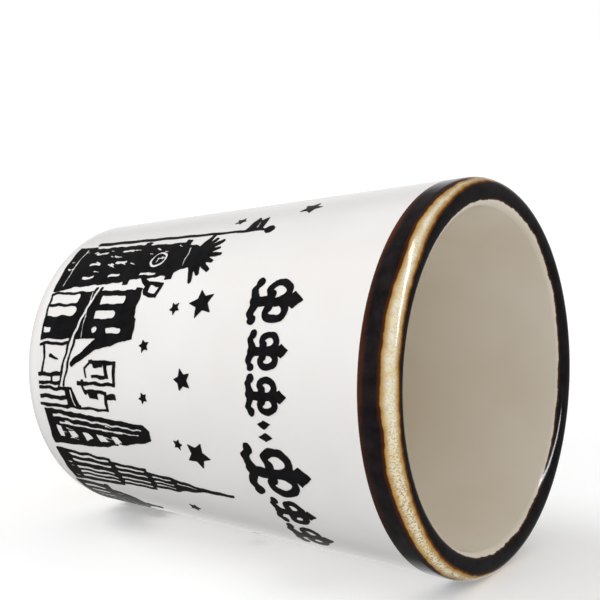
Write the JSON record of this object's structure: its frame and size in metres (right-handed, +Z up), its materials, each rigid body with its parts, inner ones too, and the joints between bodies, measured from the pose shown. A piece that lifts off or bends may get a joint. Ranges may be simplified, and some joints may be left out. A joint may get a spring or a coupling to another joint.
{
  "type": "shot glass",
  "caption": "Small tapered glazed ceramic shot glass with a brown rim and a black printed skyline with stars.",
  "frame": {"origin": "centre of the foot ring, on the table's surface", "axes": "+Z up along the cup's axis, -Y towards the middle of the printed front"},
  "size_m": [0.0482, 0.0482, 0.06],
  "materials": {
    "bare_clay": "matte unglazed fired clay",
    "white_glaze": "glossy",
    "brown_glaze": "glossy, breaking to amber on the crown",
    "black_print": "satin gloss fired print"
  },
  "bodies": {
    "root": {"clay_body": "bare_clay", "outer_glaze": "white_glaze", "liner_glaze": "white_glaze", "foot_glaze": "white_glaze", "rim_glaze": "brown_glaze", "ornament_row": "black_print", "large_stars": "black_print", "small_stars": "black_print", "belfry": "black_print", "flag_mast": "black_print", "river_bridge": "black_print", "corner_houses": "black_print", "tapered_tower": "black_print", "spire_tower": "black_print", "domed_hall": "black_print", "gabled_houses": "black_print", "water_tank": "black_print", "stepped_block": "black_print", "lattice_mast": "black_print", "arcade": "black_print", "chimney_works": "black_print", "chapel": "black_print"}
  },
  "joints": []
}
